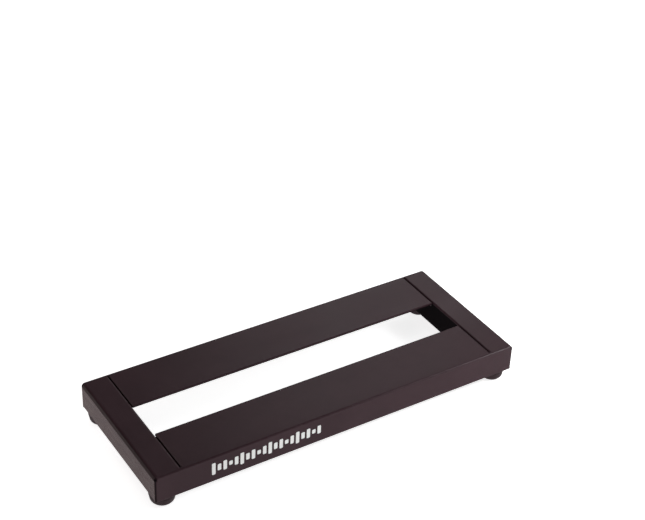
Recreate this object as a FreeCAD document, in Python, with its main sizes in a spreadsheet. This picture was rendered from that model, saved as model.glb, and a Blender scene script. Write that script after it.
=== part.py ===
import FreeCAD, Part
import math
import os
import Sketcher

# A small pedalboard: two aluminium angle rails and two box-section ends welded
# into a flat frame, coated, and stood on four screwed rubber feet.
# Millimetres. +X runs left to right, +Y from the front rail to the rear rail,
# +Z up. The origin is the centre of the footprint, on the floor.

SIZES = [
    ("board_length", 355.6, "frame, left to right"),
    ("board_depth", 139.7, "frame, front to rear"),
    ("frame_height", 25.4, "rails and ends, without the feet"),
    ("edge_radius", 1.7, "outer long edges and corners of the frame"),
    ("end_round", 3.4, "upper outer edge of each end, carried on by the webs"),
    ("rail_width", 49.5, "top flange of each rail, with its web"),
    ("rail_wall", 2.5, "thickness of the angle's flange and web"),
    ("rail_root", 1.6, "fillet inside the angle"),
    ("lip_radius", 0.6, "edges of the angle along the slot and below"),
    ("cut_bevel", 0.3, "deburred saw cut at a flange's end"),
    ("seam_gap", 1.0, "open seam between a flange and an end"),
    ("end_width", 24.0, "box section of each end"),
    ("end_wall", 2.5, "wall of the box section"),
    ("end_root", 0.8, "corner radius inside the box section"),
    ("weld_leg", 3.5, "leg of each fillet weld"),
    ("weld_crown", 2.2, "middle of a weld's face, from each of the two pieces"),
    ("weld_setback", 1.5, "how far a weld stops from an edge"),
    ("foot_diameter", 23.2, "rubber foot at the frame"),
    ("foot_taper", 1.7, "how much smaller in radius the foot is at the floor"),
    ("foot_height", 11.0, "rubber foot, floor to frame"),
    ("foot_round", 4.3, "rounding of the foot's lower rim"),
    ("foot_ring", 0.8, "least width of the flat ring that the foot stands on"),
    ("foot_inset", 12.4, "foot's axis from the front or rear face"),
    ("washer_level", 4.6, "underside of the washer above the floor"),
    ("washer_diameter", 14.0, "steel washer moulded into the foot"),
    ("washer_thickness", 1.2, "steel washer"),
    ("screw_diameter", 4.0, "machine screw"),
    ("screw_clearance", 0.3, "around the screw in the foot and washer, on radius"),
    ("thread_clearance", 0.05, "around the screw in the end's wall, on radius"),
    ("screw_length", 12.0, "under the head"),
    ("tip_bevel", 0.5, "screw's tip"),
    ("head_diameter", 8.0, "pan head"),
    ("head_height", 2.8, "pan head"),
    ("head_round", 1.7, "rounding of the pan head"),
    ("head_clearance", 0.7, "around the head in the foot's well, on radius"),
    ("drive_span", 4.4, "cross recess, tip to tip"),
    ("drive_slot", 1.1, "cross recess, width of an arm"),
    ("drive_depth", 1.7, "cross recess"),
    ("print_start", 50.8, "first bar of the print from the frame's left end"),
    ("print_pitch", 5.25, "bar to bar"),
    ("print_bar", 3.3, "width of one bar"),
    ("print_height", 12.0, "tallest bar"),
    ("print_centre", 12.3, "middle of the bars below the top face"),
    ("print_film", 0.08, "thickness of the ink"),
]
PRINT_BARS = 20
PRINT_WAVE = (1.0, 0.55, 0.8, 0.35, 0.7)  # bar heights, as shares of the tallest

doc = FreeCAD.newDocument("Pedalboard")
parts = []


def make_sheet():
    """Writes the driving dimensions to the document's sheet, one alias each."""
    made = doc.addObject("Spreadsheet::Sheet", "Sizes")
    for row, (alias, number, note) in enumerate(SIZES, start=1):
        made.set(f"A{row}", alias)
        made.set(f"B{row}", str(number))
        made.set(f"C{row}", note)
        made.setAlias(f"B{row}", alias)
    doc.recompute()
    return made


sheet = make_sheet()


def value(expression):
    """What an expression on the sheet comes to, in millimetres."""
    return float(sheet.evalExpression(expression))


# Places that several pieces share, as expressions on the sheet.
HALF_LENGTH = "Sizes.board_length / 2"
HALF_DEPTH = "Sizes.board_depth / 2"
TOP = "(Sizes.foot_height + Sizes.frame_height)"
UNDERSIDE = f"({TOP} - Sizes.rail_wall)"
END_INNER = f"({HALF_LENGTH} - Sizes.end_width)"
WEB_INNER = f"({HALF_DEPTH} - Sizes.rail_wall)"
SLOT_HALF = f"({HALF_DEPTH} - Sizes.rail_width)"
FOOT_X = f"({HALF_LENGTH} - Sizes.end_width / 2)"
FOOT_Y = f"({HALF_DEPTH} - Sizes.foot_inset)"
LEFT_RIGHT = (("left", -1), ("right", 1))
FRONT_REAR = (("front", -1), ("rear", 1))
NEAR = 1e-4


def new_body(label):
    """Starts one sub-part, whose label names its file."""
    body = doc.addObject("PartDesign::Body", label)
    body.Label = label
    parts.append(body)
    return body


def new_sketch(body, plane, offset=None):
    """A sketch on one of the body's own planes, moved along its normal."""
    sketch = body.newObject("Sketcher::SketchObject", f"{body.Label}_sketch")
    found = [f for f in body.Origin.OriginFeatures if f.Role == plane]
    sketch.AttachmentSupport = [(found[0], "")]
    sketch.MapMode = "FlatFace"
    if offset:
        sketch.setExpression("AttachmentOffset.Base.z", offset)
    doc.recompute()
    return sketch


def hold(sketch, geometry, point, across, up):
    """Ties one point of a sketch to a pair of expressions."""
    for kind, axis, expression in (("DistanceX", -2, across), ("DistanceY", -1, up)):
        if expression == "0":
            sketch.addConstraint(
                Sketcher.Constraint("PointOnObject", geometry, point, axis)
            )
            continue
        index = sketch.addConstraint(
            Sketcher.Constraint(kind, -1, 1, geometry, point, value(expression))
        )
        sketch.setExpression(f"Constraints[{index}]", expression)


def outline(sketch, corners):
    """A closed outline of straight lines through pairs of expressions."""
    first, count = sketch.GeometryCount, len(corners)
    spots = [FreeCAD.Vector(value(x), value(y), 0) for x, y in corners]
    for i in range(count):
        sketch.addGeometry(Part.LineSegment(spots[i], spots[(i + 1) % count]), False)
    for i in range(count):
        following = first + (i + 1) % count
        sketch.addConstraint(
            Sketcher.Constraint("Coincident", first + i, 2, following, 1)
        )
    for i, (across, up) in enumerate(corners):
        hold(sketch, first + i, 1, across, up)


def rectangle(sketch, left, right, low, high):
    """An outline with its sides at four expressions."""
    outline(sketch, [(left, low), (right, low), (right, high), (left, high)])


def circle(sketch, across, up, radius):
    """A circle held at a pair of expressions, with its radius another."""
    centre = FreeCAD.Vector(value(across), value(up), 0)
    up_axis = FreeCAD.Vector(0, 0, 1)
    index = sketch.addGeometry(Part.Circle(centre, up_axis, value(radius)), False)
    hold(sketch, index, 3, across, up)
    size = sketch.addConstraint(Sketcher.Constraint("Radius", index, value(radius)))
    sketch.setExpression(f"Constraints[{size}]", radius)


def pad(body, sketch, length, symmetric=False):
    """Extrudes a sketch along its normal, or half each way."""
    feature = body.newObject("PartDesign::Pad", f"{body.Label}_pad")
    feature.Profile = sketch
    feature.SideType = "Symmetric" if symmetric else "One side"
    feature.setExpression("Length", length)
    doc.recompute()
    return feature


def revolve(body, sketch):
    """Turns a sketch once round the upright axis of its plane."""
    feature = body.newObject("PartDesign::Revolution", f"{body.Label}_turned")
    feature.Profile = sketch
    feature.ReferenceAxis = (sketch, ["V_Axis"])
    feature.Angle = 360
    doc.recompute()
    return feature


def pocket(body, sketch, length=None, reverse=False):
    """Cuts a sketch out of the body, and stops if that cut nothing."""
    before = body.Shape.Volume
    feature = body.newObject("PartDesign::Pocket", f"{body.Label}_pocket")
    feature.Profile = sketch
    if length:
        feature.Type = "Length"
        feature.setExpression("Length", length)
    else:
        feature.SideType = "Symmetric"
        feature.Type = "ThroughAll"
    feature.Reversed = reverse
    doc.recompute()
    if not body.Shape.Volume < before - NEAR:
        raise RuntimeError(f"{body.Label}: a pocket cut nothing")
    return feature


def dress(body, kind, size, wanted):
    """Rounds ("Fillet") or bevels ("Chamfer") the edges that wanted() picks."""
    base = body.Tip
    names = [
        f"Edge{number}"
        for number, edge in enumerate(base.Shape.Edges, start=1)
        if wanted(edge)
    ]
    if not names:
        raise RuntimeError(f"{body.Label}: no edge to dress")
    feature = body.newObject(f"PartDesign::{kind}", f"{body.Label}_{kind.lower()}")
    feature.Base = (base, names)
    feature.setExpression("Radius" if kind == "Fillet" else "Size", size)
    doc.recompute()
    return feature


def place(piece, across, along, up):
    """Puts a piece made at the origin where three expressions say."""
    for letter, expression in zip("xyz", (across, along, up)):
        piece.setExpression(f"Placement.Base.{letter}", expression)


def runs_along(edge, letter):
    """Whether an edge is straight and lies along X, Y or Z."""
    step = edge.Vertexes[-1].Point - edge.Vertexes[0].Point
    return edge.Length > NEAR and abs(abs(getattr(step, letter)) - edge.Length) < NEAR


def sits_at(edge, **levels):
    """Whether an edge's middle is at the given x, y or z, whatever their sign."""
    box = edge.BoundBox
    centre = {"x": box.Center.x, "y": box.Center.y, "z": box.Center.z}
    return all(
        abs(abs(centre[letter]) - abs(level)) < NEAR
        for letter, level in levels.items()
    )


def is_ring(edge, radius, level):
    """Whether an edge is a full circle about the upright axis at that level."""
    box = edge.BoundBox
    return (
        edge.isClosed()
        and abs(box.ZMin - level) < NEAR
        and abs(box.ZMax - level) < NEAR
        and abs(edge.Length - 2 * math.pi * radius) < NEAR
    )


def make_rail(name, side):
    """An extruded angle. Its flange stops at the ends and its web runs past them."""
    body = new_body(f"{name}_rail")
    sketch = new_sketch(body, "YZ_Plane")
    outer, web, lip = (f"{side} * {y}" for y in (HALF_DEPTH, WEB_INNER, SLOT_HALF))
    outline(
        sketch,
        [
            (outer, "Sizes.foot_height"),
            (web, "Sizes.foot_height"),
            (web, UNDERSIDE),
            (lip, UNDERSIDE),
            (lip, TOP),
            (outer, TOP),
        ],
    )
    pad(body, sketch, "Sizes.board_length", symmetric=True)
    dress(
        body,
        "Fillet",
        "Sizes.rail_root",
        lambda e: runs_along(e, "x") and sits_at(e, y=value(WEB_INNER), z=value(UNDERSIDE)),
    )

    coped = new_sketch(body, "XY_Plane")
    flange_end = f"({END_INNER} - Sizes.seam_gap)"
    past_end = f"({HALF_LENGTH} + Sizes.end_width)"
    past_lip = f"{side} * ({SLOT_HALF} - Sizes.rail_wall)"
    for _, way in LEFT_RIGHT:
        across = (f"{way} * {flange_end}", f"{way} * {past_end}")
        rectangle(coped, across[0], across[1], past_lip, web)
    pocket(body, coped)

    top, end = value(TOP), value(HALF_LENGTH)
    dress(
        body,
        "Chamfer",
        "Sizes.cut_bevel",
        lambda e: runs_along(e, "y") and sits_at(e, x=value(flange_end), z=top),
    )
    dress(
        body,
        "Fillet",
        "Sizes.end_round",
        lambda e: runs_along(e, "y") and sits_at(e, x=end, z=top),
    )
    dress(
        body,
        "Fillet",
        "Sizes.edge_radius",
        lambda e: runs_along(e, "x") and sits_at(e, y=value(HALF_DEPTH), z=top),
    )
    # The lower edges' rounding keeps clear of the upright corners' rounding.
    dress(
        body,
        "Fillet",
        "min(Sizes.lip_radius; 0.9 * (Sizes.rail_wall - Sizes.edge_radius))",
        lambda e: runs_along(e, "x")
        and (
            sits_at(e, y=value(SLOT_HALF))
            or sits_at(e, z=value("Sizes.foot_height"))
        ),
    )


def make_end(name, side):
    """A box section between the two webs, drilled below for the two feet."""
    body = new_body(f"{name}_end")
    sketch = new_sketch(body, "XZ_Plane")
    low, high, wall = "Sizes.foot_height", TOP, "Sizes.end_wall"
    outer, inner = f"{side} * {HALF_LENGTH}", f"{side} * {END_INNER}"
    rectangle(sketch, outer, inner, low, high)
    rectangle(
        sketch,
        f"{outer} - {side} * {wall}",
        f"{inner} + {side} * {wall}",
        f"{low} + {wall}",
        f"{high} - {wall}",
    )
    pad(body, sketch, f"2 * {WEB_INNER}", symmetric=True)
    levels = (value(low), value(high))
    sides = (value(HALF_LENGTH), value(END_INNER))

    def along_end(edge, places_x, places_z):
        beside = any(sits_at(edge, x=x, z=z) for x in places_x for z in places_z)
        return runs_along(edge, "y") and beside

    dress(body, "Fillet", "Sizes.end_round", lambda e: along_end(e, sides[:1], levels[1:]))
    dress(
        body,
        "Fillet",
        "Sizes.edge_radius",
        lambda e: along_end(e, sides[:1], levels[:1]) or along_end(e, sides[1:], levels),
    )
    wall_size = value(wall)
    inner_sides = (sides[0] - wall_size, sides[1] + wall_size)
    inner_levels = (levels[0] + wall_size, levels[1] - wall_size)
    dress(
        body,
        "Fillet",
        "Sizes.end_root",
        lambda e: along_end(e, inner_sides, inner_levels),
    )
    holes = new_sketch(body, "XY_Plane")
    bore = "Sizes.screw_diameter / 2 + Sizes.thread_clearance"
    for _, way in FRONT_REAR:
        circle(holes, f"{side} * {FOOT_X}", f"{way} * {FOOT_Y}", bore)
    pocket(body, holes, f"{low} + 2 * {wall}", reverse=True)


def bead_outline(sketch, across, up, way_across, way_up):
    """The section of a fillet weld in the corner at (across, up)."""
    leg, crown = "Sizes.weld_leg", "Sizes.weld_crown"
    outline(
        sketch,
        [
            (across, up),
            (f"{across} + {way_across} * {leg}", up),
            (f"{across} + {way_across} * {crown}", f"{up} + {way_up} * {crown}"),
            (across, f"{up} + {way_up} * {leg}"),
        ],
    )


def make_deck_weld(end_name, end_side, rail_name, rail_side):
    """The weld below a flange's end, which closes the seam from underneath."""
    body = new_body(f"deck_weld_{rail_name}_{end_name}")
    near = f"({SLOT_HALF} + Sizes.weld_setback)"
    far = f"({WEB_INNER} - Sizes.weld_leg - Sizes.weld_setback)"
    # The sketch's normal points to the front, so a pad always grows that way.
    start = near if rail_side < 0 else f"-{far}"
    sketch = new_sketch(body, "XZ_Plane", start)
    bead_outline(sketch, f"{end_side} * {END_INNER}", UNDERSIDE, -end_side, -1)
    pad(body, sketch, f"{far} - {near}")


def make_web_weld(end_name, end_side, rail_name, rail_side):
    """The upright weld between a rail's web and the side of an end."""
    body = new_body(f"web_weld_{rail_name}_{end_name}")
    low = "(Sizes.foot_height + Sizes.weld_setback)"
    high = f"({UNDERSIDE} - Sizes.weld_leg - Sizes.weld_setback)"
    sketch = new_sketch(body, "XY_Plane", low)
    bead_outline(
        sketch,
        f"{end_side} * {END_INNER}",
        f"{rail_side} * {WEB_INNER}",
        -end_side,
        -rail_side,
    )
    pad(body, sketch, f"{high} - {low}")


def make_foot(corner, across, along):
    """A tapered rubber foot, moulded round a washer, with a well for the head."""
    body = new_body(f"foot_{corner}")
    sketch = new_sketch(body, "XZ_Plane")
    well = "(Sizes.head_diameter / 2 + Sizes.head_clearance)"
    bore = "(Sizes.screw_diameter / 2 + Sizes.screw_clearance)"
    rim, level = "Sizes.washer_diameter / 2", "Sizes.washer_level"
    above = f"({level} + Sizes.washer_thickness)"
    low_radius = "(Sizes.foot_diameter / 2 - Sizes.foot_taper)"
    outline(
        sketch,
        [
            (well, "0"),
            (low_radius, "0"),
            ("Sizes.foot_diameter / 2", "Sizes.foot_height"),
            (bore, "Sizes.foot_height"),
            (bore, above),
            (rim, above),
            (rim, level),
            (well, level),
        ],
    )
    revolve(body, sketch)
    # The rim's rounding leaves a flat ring round the well, however small the foot.
    dress(
        body,
        "Fillet",
        f"min(Sizes.foot_round; {low_radius} - {well} - Sizes.foot_ring)",
        lambda e: is_ring(e, value(low_radius), 0),
    )
    place(body, across, along, "0")


def make_washer(corner, across, along):
    """The steel washer inside a foot, which the screw head bears on."""
    body = new_body(f"foot_washer_{corner}")
    sketch = new_sketch(body, "XY_Plane")
    circle(sketch, "0", "0", "Sizes.washer_diameter / 2")
    circle(sketch, "0", "0", "Sizes.screw_diameter / 2 + Sizes.screw_clearance")
    pad(body, sketch, "Sizes.washer_thickness")
    place(body, across, along, "Sizes.washer_level")


def make_screw(corner, across, along):
    """A pan-head screw, head down, with a cross recess."""
    body = new_body(f"foot_screw_{corner}")
    sketch = new_sketch(body, "XZ_Plane")
    head, shank = "Sizes.head_diameter / 2", "Sizes.screw_diameter / 2"
    outline(
        sketch,
        [
            ("0", "-Sizes.head_height"),
            (head, "-Sizes.head_height"),
            (head, "0"),
            (shank, "0"),
            (shank, "Sizes.screw_length"),
            ("0", "Sizes.screw_length"),
        ],
    )
    revolve(body, sketch)
    crown, tip = -value("Sizes.head_height"), value("Sizes.screw_length")
    dress(
        body,
        "Fillet",
        "Sizes.head_round",
        lambda e: is_ring(e, value(head), crown),
    )
    dress(
        body,
        "Chamfer",
        "Sizes.tip_bevel",
        lambda e: is_ring(e, value(shank), tip),
    )
    drive = new_sketch(body, "XY_Plane", "-Sizes.head_height")
    reach, half = "Sizes.drive_span / 2", "Sizes.drive_slot / 2"
    corners = [(half, half), (half, reach), (f"-{half}", reach)]
    quarter_turns = []
    for _ in range(4):
        quarter_turns += corners
        corners = [(f"-({up})", across_) for across_, up in corners]
    outline(drive, quarter_turns)
    pocket(body, drive, "Sizes.drive_depth", reverse=True)
    place(body, across, along, "Sizes.washer_level")


def make_print():
    """A row of plain bars in white ink, low on the left of the front rail."""
    bars = []
    for number in range(PRINT_BARS):
        share = PRINT_WAVE[number % len(PRINT_WAVE)]
        bar = doc.addObject("Part::Box", f"print_bar_{number}")
        bar.setExpression("Length", "Sizes.print_bar")
        bar.setExpression("Width", "Sizes.print_film")
        bar.setExpression("Height", f"{share} * Sizes.print_height")
        left = f"Sizes.print_start + {number} * Sizes.print_pitch - {HALF_LENGTH}"
        low = f"{TOP} - Sizes.print_centre - {share / 2} * Sizes.print_height"
        place(bar, left, f"-{HALF_DEPTH} - Sizes.print_film", low)
        bars.append(bar)
    row = doc.addObject("Part::Compound", "front_print")
    row.Label = "front_print"
    row.Links = bars
    parts.append(row)
    doc.recompute()


def make_all():
    """Every piece of the board, frame first."""
    for name, side in FRONT_REAR:
        make_rail(name, side)
    for name, side in LEFT_RIGHT:
        make_end(name, side)
    for end_name, end_side in LEFT_RIGHT:
        for rail_name, rail_side in FRONT_REAR:
            make_deck_weld(end_name, end_side, rail_name, rail_side)
            make_web_weld(end_name, end_side, rail_name, rail_side)
            corner = f"{rail_name}_{end_name}"
            spot = (f"{end_side} * {FOOT_X}", f"{rail_side} * {FOOT_Y}")
            make_foot(corner, *spot)
            make_washer(corner, *spot)
            make_screw(corner, *spot)
    make_print()


def check_all():
    """Stops the build on any failed object or bad shape."""
    doc.recompute()
    for thing in doc.Objects:
        if "Invalid" in thing.State or "Error" in thing.State:
            raise RuntimeError(f"{thing.Label} failed: {thing.State}")
    for body in parts:
        if body.Shape.isNull() or not body.Shape.isValid() or not body.Shape.Solids:
            raise RuntimeError(f"{body.Label} has no valid shape")


def write_all():
    """One STEP file for each piece, named by its label."""
    os.makedirs("parts", exist_ok=True)
    for body in parts:
        body.Shape.exportStep(f"parts/{body.Label}.step")
        box = body.Shape.BoundBox
        spans = f"{box.XLength:.2f} x {box.YLength:.2f} x {box.ZLength:.2f}"
        print(f"{body.Label}: {spans} mm, {body.Shape.Volume:.1f} mm3")


make_all()
check_all()
write_all()
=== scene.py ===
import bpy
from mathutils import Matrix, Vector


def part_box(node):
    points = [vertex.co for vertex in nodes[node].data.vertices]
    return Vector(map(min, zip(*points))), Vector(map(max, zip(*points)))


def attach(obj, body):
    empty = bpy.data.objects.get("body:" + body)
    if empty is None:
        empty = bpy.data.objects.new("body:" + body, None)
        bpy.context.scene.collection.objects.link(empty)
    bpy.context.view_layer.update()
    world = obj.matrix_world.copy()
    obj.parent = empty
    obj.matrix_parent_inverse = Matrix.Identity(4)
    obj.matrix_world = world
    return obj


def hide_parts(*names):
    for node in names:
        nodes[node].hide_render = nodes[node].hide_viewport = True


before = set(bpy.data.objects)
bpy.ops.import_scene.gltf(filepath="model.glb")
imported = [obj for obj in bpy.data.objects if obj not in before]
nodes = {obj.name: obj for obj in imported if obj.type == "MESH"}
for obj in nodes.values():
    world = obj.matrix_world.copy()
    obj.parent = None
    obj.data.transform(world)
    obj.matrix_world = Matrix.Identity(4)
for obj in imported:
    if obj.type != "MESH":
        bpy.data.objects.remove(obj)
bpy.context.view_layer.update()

import math
import random

import bpy
from mathutils import Matrix, Quaternion, Vector

random.seed(14)
mm = 0.001
slack = 0.02 * mm  # points nearer than this count as in place
doubles = 0.004 * mm  # points nearer than this are merged
facing = 0.9  # least share of a face's normal along the way it is said to face

# places taken from the frame
railLow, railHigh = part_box("front_rail")
endLow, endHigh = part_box("right_end")
footLow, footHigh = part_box("foot_front_right")
halfLength = railHigh.x
frontFace = railLow.y
deckTop = railHigh.z
endInner = endLow.x  # the ends' inner sides
webInner = endHigh.y  # the webs' inner sides, where the ends stop
print("frame loaded:", len(nodes), "nodes")


def pickNothing():
    if bpy.context.mode != "OBJECT":
        bpy.ops.object.mode_set(mode="OBJECT")
    bpy.ops.object.select_all(action="DESELECT")


def pickOnly(piece):
    pickNothing()
    piece.select_set(True)
    bpy.context.view_layer.objects.active = piece


def started(name):
    # the primitive that was just added, with its place put into its mesh
    piece = bpy.context.active_object
    piece.name = name
    piece.data.name = name
    bpy.ops.object.transform_apply(location=True, rotation=True, scale=True)
    return piece


def pickPart(kind, parts, wanted):
    # leaves edit mode on, with those points, edges or faces picked that wanted() takes
    bpy.ops.object.mode_set(mode="EDIT")
    bpy.ops.mesh.select_mode(type=kind)
    bpy.ops.mesh.select_all(action="DESELECT")
    bpy.ops.object.mode_set(mode="OBJECT")
    for part in parts:
        part.select = wanted(part)
    bpy.ops.object.mode_set(mode="EDIT")


def pickFaces(piece, wanted):
    pickPart("FACE", piece.data.polygons, wanted)


def pickVertices(piece, wanted):
    # wanted() is given a point's place
    pickPart("VERT", piece.data.vertices, lambda point: wanted(point.co))


def pickEdges(piece, wanted):
    # wanted() is given the places of an edge's two points
    points = piece.data.vertices
    pickPart("EDGE", piece.data.edges, lambda e: wanted(*(points[i].co for i in e.vertices)))


def extrudeBy(x=0.0, y=0.0, z=0.0):
    bpy.ops.mesh.extrude_region_move(TRANSFORM_OT_translate={"value": (x, y, z)})


def growAbout(centre, x=1.0, y=1.0, z=1.0):
    bpy.ops.transform.resize(value=(x, y, z), center_override=centre)


def closeUp(piece, smoothAngle):
    # merges doubles, turns the faces outwards and smooths the round ones
    if bpy.context.mode != "EDIT_MESH":
        pickOnly(piece)
        bpy.ops.object.mode_set(mode="EDIT")
    bpy.ops.mesh.select_all(action="SELECT")
    bpy.ops.mesh.remove_doubles(threshold=doubles)
    bpy.ops.mesh.normals_make_consistent(inside=False)
    bpy.ops.object.mode_set(mode="OBJECT")
    pickOnly(piece)
    bpy.ops.object.shade_smooth_by_angle(angle=math.radians(smoothAngle))
    bpy.ops.object.select_all(action="DESELECT")


def copyTo(piece, name, matrix):
    # a copy with its own mesh, placed in the mesh
    twin = piece.copy()
    twin.data = piece.data.copy()
    twin.name = name
    twin.data.name = name
    bpy.context.scene.collection.objects.link(twin)
    twin.data.transform(matrix)
    return twin


class Wire:
    # a node's output, with arithmetic, and the way to any other node
    def __init__(self, tree, socket=None):
        self.tree = tree
        self.socket = socket

    def node(self, kind, inputs, out=0, **settings):
        made = self.tree.nodes.new(kind)
        for name, setting in settings.items():
            setattr(made, name, setting)
        for name, given in inputs.items():
            if isinstance(given, Wire):
                self.tree.links.new(given.socket, made.inputs[name])
            else:
                made.inputs[name].default_value = given
        return Wire(self.tree, made.outputs[out] if made.outputs else None)

    def sum(self, operation, first, second=0.0):
        return self.node("ShaderNodeMath", {0: first, 1: second}, operation=operation)

    def __add__(self, other):
        return self.sum("ADD", self, other)

    def __radd__(self, other):
        return self.sum("ADD", other, self)

    def __sub__(self, other):
        return self.sum("SUBTRACT", self, other)

    def __rsub__(self, other):
        return self.sum("SUBTRACT", other, self)

    def __mul__(self, other):
        return self.sum("MULTIPLY", self, other)

    def __rmul__(self, other):
        return self.sum("MULTIPLY", other, self)

    def __abs__(self):
        return self.sum("ABSOLUTE", self)


def rgb(r, g, b):
    return (r, g, b, 1.0)


def startFinish(name):
    # an empty finish: its material, a place to hang nodes, and Object coordinates
    finish = bpy.data.materials.new(name)
    finish.use_nodes = True
    finish.node_tree.nodes.clear()
    hang = Wire(finish.node_tree)
    spot = hang.node("ShaderNodeTexCoord", {}, out="Object")
    return finish, hang, spot


def shader(hang, base, rough, metal=0.0, normal=None, **others):
    # the other sockets are named with _ for a space
    inputs = {"Base Color": base, "Roughness": rough, "Metallic": metal}
    if normal:
        inputs["Normal"] = normal
    inputs.update({name.replace("_", " "): given for name, given in others.items()})
    return hang.node("ShaderNodeBsdfPrincipled", inputs)


def endFinish(finish, hang, *looks, **others):
    hang.node("ShaderNodeOutputMaterial", {"Surface": shader(hang, *looks, **others)})
    return finish


def noise(hang, spot, grain, stretch=None):
    # grey noise about 0.5, of a grain: cells per metre, detail, roughness of the detail
    if stretch:
        spot = hang.node("ShaderNodeMapping", {"Vector": spot, "Scale": stretch})
    scale, detail, rough = grain
    inputs = {"Vector": spot, "Scale": scale, "Detail": detail, "Roughness": rough}
    return hang.node("ShaderNodeTexNoise", inputs, out="Fac")


def ramp(hang, value, low, high):
    # 0 below low, 1 above high, smooth between
    inputs = {"Value": value, "From Min": low, "From Max": high}
    return hang.node("ShaderNodeMapRange", inputs, interpolation_type="SMOOTHSTEP")


def nearFace(hang, place, face, far, near):
    # 0 at more than far inside a face, 1 at less than near
    return ramp(hang, place, face - far, face - near)


def larger(hang, first, second):
    return hang.sum("MAXIMUM", first, second)


def mix(hang, amount, first, second):
    inputs = {0: amount, 6: first, 7: second}
    return hang.node("ShaderNodeMix", inputs, out=2, data_type="RGBA")


def bump(hang, height, strength, depth, under=None):
    inputs = {"Height": height, "Strength": strength, "Distance": depth}
    if under:
        inputs["Normal"] = under
    return hang.node("ShaderNodeBump", inputs)


# a bump is a strength and a depth, a span a ramp's two ends, and a band or top
# how far inside a face something starts and where it is full
coatLook = {
    "colour": rgb(0.0440, 0.0210, 0.0270),
    "deep": rgb(0.0370, 0.0170, 0.0222),
    "cloud": (22.0, 4.0, 0.55),  # drifts between the two colours
    "cloudSpan": (0.35, 0.68),
    "cloudRough": 0.10,
    "wipe": (9.0, 5.0, 0.6),  # uneven sheen, along the depth
    "wipeStretch": (0.35, 2.2, 1.0),
    "wipeRough": 0.16,
    "gloss": 0.10,  # specular level
    "rough": 0.40,
    "edgeRough": 0.27,  # edges are rubbed smooth
    "edgeBand": 1.9 * mm,
    "polish": 0.26,  # the long upper edges are polished by cables drawn over them
    "polishRough": 0.24,
    "peel": (1300.0, 2.0, 0.5),  # the coat's orange peel
    "peelBump": (0.35, 0.05 * mm),
    "grit": (5200.0, 2.0, 0.6),
    "gritBump": (0.20, 0.02 * mm),
    "stroke": rgb(0.064, 0.032, 0.031),  # the ends' sawn and linished outer faces
    "strokes": (30.0, 6.0, 0.7),
    "strokeStretch": (1.0, 1.2, 34.0),
    "strokeSpan": (0.30, 0.72),
    "strokeFill": 0.2,  # how far the colour shows between strokes
    "strokeRough": 0.14,
    "strokeBump": (0.7, 0.20 * mm),
    "strokeBand": (0.5 * mm, 0.1 * mm),
    "paintedShade": rgb(0.006, 0.004, 0.005),  # painted shade: inside the frame the coat is made near black and matt, to stand for the shade there
    "paintedShadeRough": 0.8,
    "paintedShadeGloss": 0.02,
    "insideShadeBand": (0.1 * mm, 0.5 * mm),  # the painted shade fades out between these depths in a wall
    "insideShadeTop": (2.0 * mm, 1.2 * mm),
    "endShadeShare": 0.55,  # how dark the painted shade makes the ends' upper edges
    "endShadeBand": (2.2 * mm, 1.2 * mm),
    "endShadeTop": (4.2 * mm, 3.2 * mm),
    "uprightShadeShare": 0.75,  # and how dark the painted shade makes the upright corners
    "uprightShadeBand": (1.5 * mm, 1.0 * mm),
    # where the painted shade's dark spot at each upper corner stands, and its size
    "pitShadeX": halfLength - 1.0 * mm,
    "pitShadeIn": 1.1 * mm,
    "pitShadeDown": 2.4 * mm,
    "pitShadeSize": 0.8 * mm,
}


def paintedShadeOf(hang, x, y, z):
    # how far the coat gives way to the painted shade, for distances from the middle: 1 inside
    # the frame
    look = coatLook
    fade, clear = look["insideShadeBand"]
    insideX = 1 - ramp(hang, x, endInner + fade, endInner + clear)
    insideY = 1 - ramp(hang, y, webInner + fade, webInner + clear)
    below = 1 - nearFace(hang, z, deckTop, *look["insideShadeTop"])
    # a painted dark spot at each upper corner, where web, end and rounding meet: painted shade
    offX = abs(x - look["pitShadeX"])
    offY = abs(y + frontFace + look["pitShadeIn"])
    offZ = abs(z - deckTop + look["pitShadeDown"])
    away = larger(hang, offX, larger(hang, offY, offZ))
    pitShade = 1 - ramp(hang, away, look["pitShadeSize"], 2 * look["pitShadeSize"])
    # painted shade along the ends' upper edges and on the upright corners
    endEdgeShade = nearFace(hang, x, halfLength, *look["endShadeBand"])
    endEdgeShade = endEdgeShade * nearFace(hang, z, deckTop, *look["endShadeTop"])
    uprightShade = nearFace(hang, x, halfLength, *look["uprightShadeBand"])
    uprightShade = uprightShade * nearFace(hang, y, -frontFace, *look["uprightShadeBand"])
    thinInkAndEdgeShade = larger(hang, look["endShadeShare"] * endEdgeShade, look["uprightShadeShare"] * uprightShade)
    return larger(hang, insideX * insideY * below, larger(hang, pitShade, thinInkAndEdgeShade))


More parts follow.
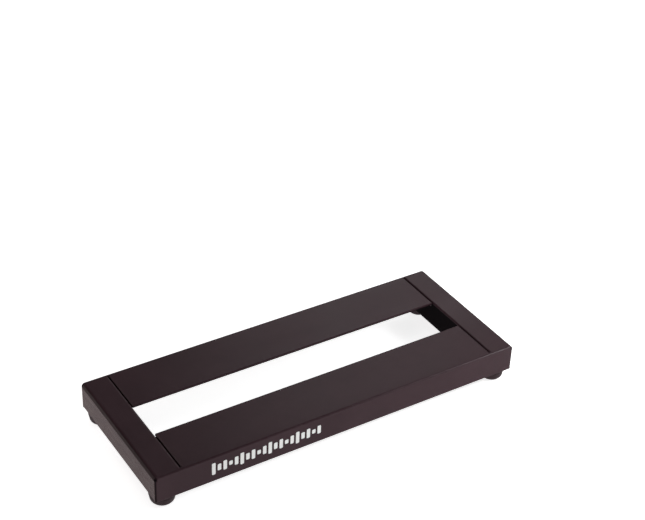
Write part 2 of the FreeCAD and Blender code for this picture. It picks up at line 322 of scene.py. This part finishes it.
def coatFinish():
    look = coatLook
    finish, hang, spot = startFinish("satinPowderCoatAndPaintedShade")
    x, y, z = [hang.node("ShaderNodeSeparateXYZ", {"Vector": spot}, out=i) for i in range(3)]
    x, y = abs(x), abs(y)  # the frame is the same both ways
    cloud = noise(hang, spot, look["cloud"])
    wipe = noise(hang, spot, look["wipe"], look["wipeStretch"])
    colour = mix(hang, ramp(hang, cloud, *look["cloudSpan"]), look["deep"], look["colour"])
    # the outer faces of the ends keep the lengthwise strokes of the sanding belt
    onEnd = nearFace(hang, x, halfLength, *look["strokeBand"])
    strokes = noise(hang, spot, look["strokes"], look["strokeStretch"])
    strokes = ramp(hang, strokes, *look["strokeSpan"])
    fill = look["strokeFill"]
    colour = mix(hang, onEnd * (fill + (1 - fill) * strokes), colour, look["stroke"])
    # rubbed upper and upright edges
    band = (look["edgeBand"], 0.5 * look["edgeBand"])
    outX = nearFace(hang, x, halfLength, *band)
    outY = nearFace(hang, y, -frontFace, *band)
    high = nearFace(hang, z, deckTop, *band)
    edge = larger(hang, larger(hang, outX * high, outY * high), outX * outY)
    rough = look["rough"] + look["wipeRough"] * (wipe - 0.5)
    rough = rough + look["cloudRough"] * (cloud - 0.5)
    rough = rough - (look["rough"] - look["edgeRough"]) * edge
    rough = rough + look["strokeRough"] * onEnd * (0.5 - strokes)
    normal = bump(hang, noise(hang, spot, look["peel"]), *look["peelBump"])
    normal = bump(hang, noise(hang, spot, look["grit"]), *look["gritBump"], normal)
    normal = bump(hang, strokes * onEnd, *look["strokeBump"], normal)
    satin = shader(
        hang,
        colour,
        rough,
        normal=normal,
        Specular_IOR_Level=look["gloss"],
        Coat_Weight=look["polish"] * outY * high * (1 - outX),
        Coat_Roughness=look["polishRough"],
    )
    # painted shade: a near black, matt coat, mixed in where the mask below says
    paintedShade = shader(
        hang, look["paintedShade"], look["paintedShadeRough"], normal=normal, Specular_IOR_Level=look["paintedShadeGloss"]
    )
    both = hang.node("ShaderNodeMixShader", {0: paintedShadeOf(hang, x, y, z), 1: satin, 2: paintedShade})
    hang.node("ShaderNodeOutputMaterial", {"Surface": both})
    return finish


beadLook = {
    "cloud": (120.0, 4.0, 0.55),
    "rough": 0.36,
    "cloudRough": 0.2,
    "grit": (2400.0, 3.0, 0.55),
    "gritBump": (0.4, 0.05 * mm),
    "ior": 1.5,
}


def beadFinish():
    # the same coat over a weld's coarser skin
    look = beadLook
    finish, hang, spot = startFinish("coatedWeld")
    cloud = noise(hang, spot, look["cloud"])
    colour = mix(hang, cloud, coatLook["deep"], coatLook["colour"])
    rough = look["rough"] + look["cloudRough"] * cloud
    normal = bump(hang, noise(hang, spot, look["grit"]), *look["gritBump"])
    return endFinish(finish, hang, colour, rough, normal=normal, IOR=look["ior"])


rubberLook = {
    "colour": rgb(0.030, 0.0155, 0.019),
    "dust": rgb(0.046, 0.029, 0.031),
    "dustTop": 5.0 * mm,
    "dustShare": 0.55,
    "patch": (160.0, 5.0, 0.65),
    "patchShare": 0.06,
    "patchRough": 0.12,
    "scuffSpan": (0.45, 0.70),
    "scuffRough": 0.25,
    "gloss": 0.12,  # specular level
    "rough": 0.58,
    "skin": (2600.0, 3.0, 0.6),
    "skinBump": (0.35, 0.05 * mm),
}


def rubberFinish():
    look = rubberLook
    finish, hang, spot = startFinish("mouldedRubber")
    z = hang.node("ShaderNodeSeparateXYZ", {"Vector": spot}, out=2)
    patch = noise(hang, spot, look["patch"])
    low = 1 - ramp(hang, z, 0.0, look["dustTop"])
    scuff = low * ramp(hang, patch, *look["scuffSpan"])
    dusty = look["dustShare"] * scuff + look["patchShare"] * patch
    colour = mix(hang, dusty, look["colour"], look["dust"])
    normal = bump(hang, noise(hang, spot, look["skin"]), *look["skinBump"])
    rough = look["rough"] + look["scuffRough"] * scuff
    rough = rough + look["patchRough"] * (patch - 0.5)
    return endFinish(
        finish, hang, colour, rough, normal=normal, Specular_IOR_Level=look["gloss"]
    )


steelLook = {
    "scratch": (900.0, 5.0, 0.7),
    "scratchStretch": (1.0, 1.0, 6.0),
    "scratchBump": (0.25, 0.02 * mm),
    "scratchRough": 0.22,
    "patch": (420.0, 4.0, 0.55),
    "wornSpan": (0.35, 0.75),
    # colour, worn colour, roughness
    "zinc": (rgb(0.56, 0.55, 0.52), rgb(0.40, 0.39, 0.36), 0.34),
    "black": (rgb(0.035, 0.035, 0.04), rgb(0.11, 0.105, 0.10), 0.38),
}


def steelFinish(name, colour, worn, rough):
    # turned steel: fine scratches over a plated or blackened surface
    look = steelLook
    finish, hang, spot = startFinish(name)
    scratch = noise(hang, spot, look["scratch"], look["scratchStretch"])
    patch = noise(hang, spot, look["patch"])
    shade = mix(hang, ramp(hang, patch, *look["wornSpan"]), colour, worn)
    normal = bump(hang, scratch, *look["scratchBump"])
    uneven = rough + look["scratchRough"] * (scratch - 0.5)
    return endFinish(finish, hang, shade, uneven, metal=1.0, normal=normal)


inkLook = {
    "colour": rgb(0.86, 0.86, 0.85),
    "under": rgb(0.35, 0.33, 0.33),
    "thinInkAndEdgeShade": (3600.0, 3.0, 0.7),
    "thinSpan": (0.62, 0.82),
    "thinShare": 0.35,
    "rough": 0.5,
    "thinRough": 0.2,
    "peelStrength": 0.3,
}


def inkFinish():
    # screen ink: a little grey shows where it lies thin over the coat
    look = inkLook
    finish, hang, spot = startFinish("whiteScreenInk")
    thinInkAndEdgeShade = ramp(hang, noise(hang, spot, look["thinInkAndEdgeShade"]), *look["thinSpan"])
    colour = mix(hang, look["thinShare"] * thinInkAndEdgeShade, look["colour"], look["under"])
    peel = noise(hang, spot, coatLook["peel"])
    normal = bump(hang, peel, look["peelStrength"], coatLook["peelBump"][1])
    rough = look["rough"] + look["thinRough"] * thinInkAndEdgeShade
    return endFinish(finish, hang, colour, rough, normal=normal)


coat = coatFinish()
bead = beadFinish()
rubber = rubberFinish()
zinc = steelFinish("zincPlatedSteel", *steelLook["zinc"])
blackSteel = steelFinish("blackOxideSteel", *steelLook["black"])
ink = inkFinish()
print("finishes made")


def finishNode(name, finish):
    for slot in nodes[name].material_slots:
        slot.material = finish


def settle(piece, finish, slot, *replaced):
    # gives a finished piece its finish and its body, and hides the nodes that it stands for
    piece.data.materials.clear()
    piece.data.materials.append(finish)
    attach(piece, "root")
    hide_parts(*replaced)


for name in ("front_rail", "rear_rail", "left_end", "right_end"):
    finishNode(name, coat)

leftRight = (("left", -1), ("right", 1))
frontRear = (("front", -1), ("rear", 1))
corners = {f"{rail}_{end}": (sx, sy) for end, sx in leftRight for rail, sy in frontRear}
for corner in corners:
    finishNode(f"foot_washer_{corner}", zinc)

weld = {
    "leg": 3.5 * mm,
    "tail": 1.4 * mm,  # a deck weld runs on into the web's root
    "crown": 0.66,  # how far the middle of the face stands out, as a share of the leg
    "pitch": 1.35 * mm,  # from one ripple to the next
    "swell": 0.06,  # how much a ripple grows and shrinks
    "ripple": (0.4, 1.0, -0.6),  # the swell at each third of a ripple
    "lead": 0.9 * mm,  # how far the middle of a ripple runs ahead of its toes
    "round": 0.5,  # rounding of the crown, as a share of the leg
    "roundSegments": 7,
    "endSize": 0.5,  # first and last ripple, as a share of the full size
    "growth": 0.20,  # added by each ripple from the end, up to the largest
    "largest": 0.94,
    "uneven": 0.03,
    "smooth": 60,
}


def layBead(name, corner, wayA, wayB, along, length):
    # a run of ripples in the corner between wayA and wayB, small at both ends
    leg = weld["leg"]
    pickNothing()
    bpy.ops.mesh.primitive_plane_add(size=leg)
    middle = corner + (wayA + wayB) * leg / 2
    turn = Matrix((wayA, wayB, wayA.cross(wayB))).transposed().to_4x4()
    bpy.context.active_object.matrix_world = Matrix.Translation(middle) @ turn
    piece = started(name)
    # the far corner comes in to the crown, leads the toes, and is rounded
    far = corner + (wayA + wayB) * leg
    pickVertices(piece, lambda place: (place - far).length < slack)
    inward = (wayA + wayB) * leg * (weld["crown"] - 1)
    bpy.ops.transform.translate(value=inward + along * weld["lead"])
    bpy.ops.mesh.bevel(
        affect="VERTICES",
        offset=leg * weld["round"],
        segments=weld["roundSegments"],
        profile=0.5,
    )
    bpy.ops.mesh.select_all(action="SELECT")
    size = weld["endSize"]
    growAbout(corner, size, size, size)
    count = round(length / weld["pitch"])
    step = length / (len(weld["ripple"]) * count)
    run = 0.0
    for ripple in range(count):
        fromEnd = min(ripple + 1, count - ripple)
        full = min(weld["largest"], weld["endSize"] + weld["growth"] * fromEnd)
        full = full * (1 - weld["uneven"] * random.random())
        for swell in weld["ripple"]:
            newSize = full * (1 + weld["swell"] * swell)
            run = run + step
            extrudeBy(*(along * step))
            grow = newSize / size
            growAbout(corner + along * run, grow, grow, grow)
            size = newSize
    closeUp(piece, weld["smooth"])
    return piece


xWay, yWay, zWay = Vector((1, 0, 0)), Vector((0, 1, 0)), Vector((0, 0, 1))
for corner, (sx, sy) in corners.items():
    rail, end = corner.split("_")
    # under the flange, from the slot to the web
    low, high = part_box(f"deck_weld_{corner}")
    nearSlot = low.y if sy > 0 else high.y
    start = Vector((sx * endInner, nearSlot, high.z))
    length = high.y - low.y + weld["tail"]
    piece = layBead(f"deckBead.{rail}.{end}", start, -sx * xWay, -zWay, sy * yWay, length)
    settle(piece, bead, "weld_bead", f"deck_weld_{corner}")
    # up the web
    low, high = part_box(f"web_weld_{corner}")
    start = Vector((sx * endInner, sy * webInner, low.z))
    length = high.z - low.z
    piece = layBead(f"webBead.{rail}.{end}", start, -sx * xWay, -sy * yWay, zWay, length)
    settle(piece, bead, "weld_bead", f"web_weld_{corner}")
print("weld beads laid")

foot = {
    "taper": 1.7 * mm,  # smaller in radius at the floor
    "rim": 4.3 * mm,  # rounding of the lower edge
    "rimSegments": 12,
    "well": 4.7 * mm,  # radius of the well for the screw's head
    "wellDepth": 4.6 * mm,
    "washer": 7.0 * mm,  # radius and thickness of the moulded-in washer
    "washerThick": 1.2 * mm,
    "bore": 2.3 * mm,
    "boreLast": 0.5 * mm,  # the last of the bore, below the top
    "flash": 0.12 * mm,  # the mould's parting line, standing proud
    "flashLevel": 8.2 * mm,
    "flashWidth": 0.45 * mm,
    "topBreak": 0.35 * mm,
    "breakSegments": 3,
    "sides": 96,
    "smooth": 40,
}


def isRing(a, b, radius, level):
    # whether an edge lies on a circle about the upright axis
    onLevel = abs(a.z - level) < slack and abs(b.z - level) < slack
    return onLevel and all(abs(math.hypot(p.x, p.y) - radius) < slack for p in (a, b))


def stepTo(fromRadius, toRadius, rise):
    # goes on from the picked face: out or in to another radius, then up
    share = toRadius / fromRadius
    bpy.ops.mesh.extrude_region_move()
    growAbout((0, 0, 0), share, share, 1)
    extrudeBy(z=rise)


def modelFoot():
    # a cylinder, drawn in below, with its well, washer groove and bore sunk from below
    top = footHigh.z
    radius = (footHigh.x - footLow.x) / 2
    floorRadius = radius - foot["taper"]
    boreEnd = top - foot["boreLast"]
    pickNothing()
    bpy.ops.mesh.primitive_cylinder_add(
        vertices=foot["sides"], radius=radius, depth=top, location=(0, 0, top / 2)
    )
    piece = started("rubberFoot")
    pickFaces(piece, lambda f: f.normal.z < -facing)
    shrink = floorRadius / radius
    growAbout((0, 0, 0), shrink, shrink, 1)
    bpy.ops.mesh.inset(thickness=floorRadius - foot["well"])
    extrudeBy(z=foot["wellDepth"])
    stepTo(foot["well"], foot["washer"], foot["washerThick"])
    stepTo(foot["washer"], foot["bore"], boreEnd - foot["wellDepth"] - foot["washerThick"])
    # the bore comes out through the top
    bpy.ops.mesh.delete(type="FACE")
    pickFaces(piece, lambda f: f.normal.z > facing and f.center.z > top - slack)
    bpy.ops.mesh.inset(thickness=radius - foot["bore"])
    bpy.ops.mesh.delete(type="FACE")
    pickEdges(
        piece,
        lambda a, b: isRing(a, b, foot["bore"], boreEnd) or isRing(a, b, foot["bore"], top),
    )
    bpy.ops.mesh.bridge_edge_loops()
    # the parting line: two cuts round the wall, and the strip between them raised
    for level in (-0.5, 0.5):
        bpy.ops.mesh.select_all(action="SELECT")
        height = foot["flashLevel"] + level * foot["flashWidth"]
        bpy.ops.mesh.bisect(plane_co=(0, 0, height), plane_no=(0, 0, 1))
    pickFaces(
        piece,
        lambda f: abs(f.center.z - foot["flashLevel"]) < foot["flashWidth"] / 2
        and math.hypot(f.center.x, f.center.y) > floorRadius,
    )
    bpy.ops.mesh.extrude_region_shrink_fatten(
        TRANSFORM_OT_shrink_fatten={"value": foot["flash"]}
    )
    pickEdges(piece, lambda a, b: isRing(a, b, floorRadius, 0.0))
    bpy.ops.mesh.bevel(
        offset=foot["rim"], offset_type="OFFSET", segments=foot["rimSegments"], profile=0.5
    )
    pickEdges(
        piece,
        lambda a, b: isRing(a, b, radius, top) or isRing(a, b, foot["well"], 0.0),
    )
    bpy.ops.mesh.bevel(offset=foot["topBreak"], segments=foot["breakSegments"], profile=0.5)
    closeUp(piece, foot["smooth"])
    return piece


def placeAtCorners(prototype, nodeStem, lift, mostTurn, finish, slot):
    # a copy at each node's middle, turned as it came to rest when it was done up
    for corner in corners:
        low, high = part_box(f"{nodeStem}_{corner}")
        place = Vector(((low.x + high.x) / 2, (low.y + high.y) / 2, low.z + lift))
        turn = Matrix.Rotation(random.uniform(0, mostTurn), 4, "Z")
        name = prototype.name + "." + corner.replace("_", ".")
        piece = copyTo(prototype, name, Matrix.Translation(place) @ turn)
        settle(piece, finish, slot, f"{nodeStem}_{corner}")
    bpy.data.objects.remove(prototype)


placeAtCorners(modelFoot(), "foot", 0.0, math.tau, rubber, "foot_rubber")
print("feet moulded")

screw = {
    "shank": 2.0 * mm,
    "head": 4.0 * mm,
    "headHeight": 2.8 * mm,
    "headRound": 1.7 * mm,
    "headSegments": 8,
    "length": 12.0 * mm,
    "thread": 0.7 * mm,  # pitch
    "threadDepth": 0.32 * mm,
    "tip": 0.9,  # the tip's radius, as a share of the thread's root
    "crossSpan": 4.4 * mm,
    "crossSlot": 1.1 * mm,
    "crossDepth": 1.7 * mm,
    "crossFloor": (0.45, 0.62),  # length and width of the recess at its floor, as shares
    "sides": 48,
    "smooth": 35,
}


def crossCutter(turned):
    # one arm of the cross, tapering to its floor
    pickNothing()
    bpy.ops.mesh.primitive_cube_add(size=2)
    arm = bpy.context.active_object
    arm.scale = (screw["crossSpan"] / 2, screw["crossSlot"] / 2, screw["crossDepth"])
    arm.location = (0, 0, -screw["headHeight"])
    arm = started("crossCutter")
    pickFaces(arm, lambda f: f.normal.z > facing)
    growAbout((0, 0, 0), *screw["crossFloor"], 1)
    bpy.ops.object.mode_set(mode="OBJECT")
    arm.data.transform(Matrix.Rotation(turned * math.pi / 2, 4, "Z"))
    return arm


def modelScrew():
    # head down, its bearing face at height 0 and the shank standing up
    height = screw["headHeight"]
    pickNothing()
    bpy.ops.mesh.primitive_cylinder_add(
        vertices=screw["sides"],
        radius=screw["head"],
        depth=height,
        location=(0, 0, -height / 2),
    )
    piece = started("footScrew")
    pickEdges(piece, lambda a, b: isRing(a, b, screw["head"], -height))
    bpy.ops.mesh.bevel(
        offset=screw["headRound"], segments=screw["headSegments"], profile=0.5
    )
    # the shank grows from the bearing face, a ridge to each turn of the thread
    pickFaces(piece, lambda f: f.normal.z > facing)
    bpy.ops.mesh.inset(thickness=screw["head"] - screw["shank"])
    root = 1 - screw["threadDepth"] / screw["shank"]
    quarter = screw["thread"] / 4
    extrudeBy(z=quarter)
    turns = int((screw["length"] - 2 * screw["thread"]) / screw["thread"])
    for _ in range(turns):
        for share in (root, 1.0, 1 / root, 1.0):
            extrudeBy(z=quarter)
            growAbout((0, 0, 0), share, share, 1)
    extrudeBy(z=screw["length"] - quarter * (1 + 4 * turns))
    tip = root * screw["tip"]
    growAbout((0, 0, 0), tip, tip, 1)
    bpy.ops.object.mode_set(mode="OBJECT")
    # the cross recess
    for cutter in [crossCutter(0), crossCutter(1)]:
        pickOnly(piece)
        cut = piece.modifiers.new("cross", "BOOLEAN")
        cut.operation = "DIFFERENCE"
        cut.object = cutter
        cut.solver = "EXACT"
        bpy.ops.object.modifier_apply(modifier=cut.name)
        bpy.data.objects.remove(cutter)
    closeUp(piece, screw["smooth"])
    return piece


placeAtCorners(
    modelScrew(), "foot_screw", screw["headHeight"], math.pi / 2, blackSteel, "black_steel"
)
print("screws turned")

mark = {
    "bars": 20,
    "start": 50.8 * mm,  # first bar from the frame's left end
    "pitch": 5.25 * mm,
    "bar": 3.3 * mm,
    "tallest": 12.0 * mm,
    "below": 12.3 * mm,  # middle of the bars below the deck
    "film": 0.08 * mm,
    "round": 0.9 * mm,
    "roundSegments": 5,
    "wave": (1.0, 0.55, 0.8, 0.35, 0.7),  # bar heights, as shares of the tallest
    "smooth": 30,
}


def printBars():
    # plain bars on the front, joined into one piece
    middle = deckTop - mark["below"]
    bars = []
    for number in range(mark["bars"]):
        tall = mark["tallest"] * mark["wave"][number % len(mark["wave"])]
        left = -halfLength + mark["start"] + number * mark["pitch"]
        pickNothing()
        bpy.ops.mesh.primitive_cube_add(size=1)
        bar = bpy.context.active_object
        bar.scale = (mark["bar"], mark["film"], tall)
        bar.location = (left + mark["bar"] / 2, frontFace - mark["film"] / 2, middle)
        bar = started(f"bar{number}")
        # its four corners in the plane of the face are rounded
        pickEdges(bar, lambda a, b: abs(a.y - b.y) > mark["film"] / 2)
        bpy.ops.mesh.bevel(
            offset=mark["round"], segments=mark["roundSegments"], profile=0.5
        )
        bpy.ops.object.mode_set(mode="OBJECT")
        bars.append(bar)
    pickNothing()
    for bar in bars:
        bar.select_set(True)
    piece = bars[0]
    bpy.context.view_layer.objects.active = piece
    bpy.ops.object.join()
    piece.name = "printedBars"
    closeUp(piece, mark["smooth"])
    return piece


settle(printBars(), ink, "white_ink", "front_print")
print("bars printed")

studio = {
    "floor": rgb(0.86, 0.86, 0.86),
    "floorPatch": rgb(0.84, 0.84, 0.84),
    "floorCloud": (1.5, 3.0, 0.55),
    "floorRough": 0.85,
    "floorGlow": 0.95,  # the floor is a light table, so that shadows stay faint
    "floorSize": 24,
    "floorCells": 8,
    "sky": rgb(1.0, 1.0, 1.0),
    "skyStrength": 0.14,
}
# each light: where it stands, what it points at, its side, its power in watts, its colour
lamps = {
    "overhead": ((-0.2, -0.2, 2.2), (0, 0, 0), 1.4, 5.0, (1.0, 0.98, 0.97)),
    "left": ((-0.45, 0.30, 0.10), (-0.18, 0.06, 0.02), 0.15, 0.45, (1.0, 0.86, 0.80)),
    "frontRight": ((0.57, -0.62, 0.68), (0.12, -0.07, 0.03), 0.25, 1.0, (1.0, 0.96, 0.97)),
    "lowRight": ((0.42, -0.26, 0.30), (0.30, -0.20, 0), 0.12, 1.2, (0.97, 1.0, 1.0)),
    "backRight": ((0.85, 1.10, 0.85), (0.1, 0, 0), 0.6, 4.6, (1.0, 0.95, 0.96)),
}


def layFloor():
    pickNothing()
    cells = studio["floorCells"]
    bpy.ops.mesh.primitive_grid_add(
        x_subdivisions=cells, y_subdivisions=cells, size=studio["floorSize"]
    )
    floor = started("paleFloor")
    finish, hang, spot = startFinish("paleFloor")
    cloud = noise(hang, spot, studio["floorCloud"])
    colour = mix(hang, cloud, studio["floor"], studio["floorPatch"])
    glow = {"Emission_Color": studio["floor"], "Emission_Strength": studio["floorGlow"]}
    floor.data.materials.append(
        endFinish(finish, hang, colour, studio["floorRough"], **glow)
    )


def setLamps():
    for name, (place, target, side, power, colour) in lamps.items():
        data = bpy.data.lights.new(name, "AREA")
        data.shape = "SQUARE"
        data.size = side
        data.energy = power
        data.color = colour
        lamp = bpy.data.objects.new(name, data)
        bpy.context.scene.collection.objects.link(lamp)
        lamp.location = place
        lamp.rotation_mode = "QUATERNION"
        aim = Vector(target) - Vector(place)
        lamp.rotation_quaternion = aim.to_track_quat("-Z", "Y")
        lamp.visible_camera = False
    sky = bpy.data.worlds.new("softRoom")
    sky.use_nodes = True
    backdrop = sky.node_tree.nodes["Background"]
    backdrop.inputs["Color"].default_value = studio["sky"]
    backdrop.inputs["Strength"].default_value = studio["skyStrength"]
    bpy.context.scene.world = sky


# angles in degrees, lens and sensor in millimetres
view = {
    "place": (-0.5543, -0.8737, 0.8302),
    "azimuth": -33.16,
    "elevation": 33.49,
    "roll": 2.31,
    "lens": 83.39,
    "sensor": 36.0,
}


def setCamera():
    data = bpy.data.cameras.new("camera")
    data.lens = view["lens"]
    data.sensor_width = view["sensor"]
    camera = bpy.data.objects.new("camera", data)
    bpy.context.scene.collection.objects.link(camera)
    a, e = math.radians(view["azimuth"]), math.radians(view["elevation"])
    back = Vector((math.sin(a) * math.cos(e), -math.cos(a) * math.cos(e), math.sin(e)))
    level = (-back).to_track_quat("-Z", "Y")
    roll = Quaternion((0, 0, 1), math.radians(view["roll"]))
    camera.rotation_mode = "QUATERNION"
    camera.location = view["place"]
    camera.rotation_quaternion = level @ roll
    bpy.context.scene.camera = camera
    bpy.context.scene.view_settings.view_transform = "Standard"


layFloor()
setLamps()
setCamera()
print("studio set")

pickNothing()
bpy.context.view_layer.update()
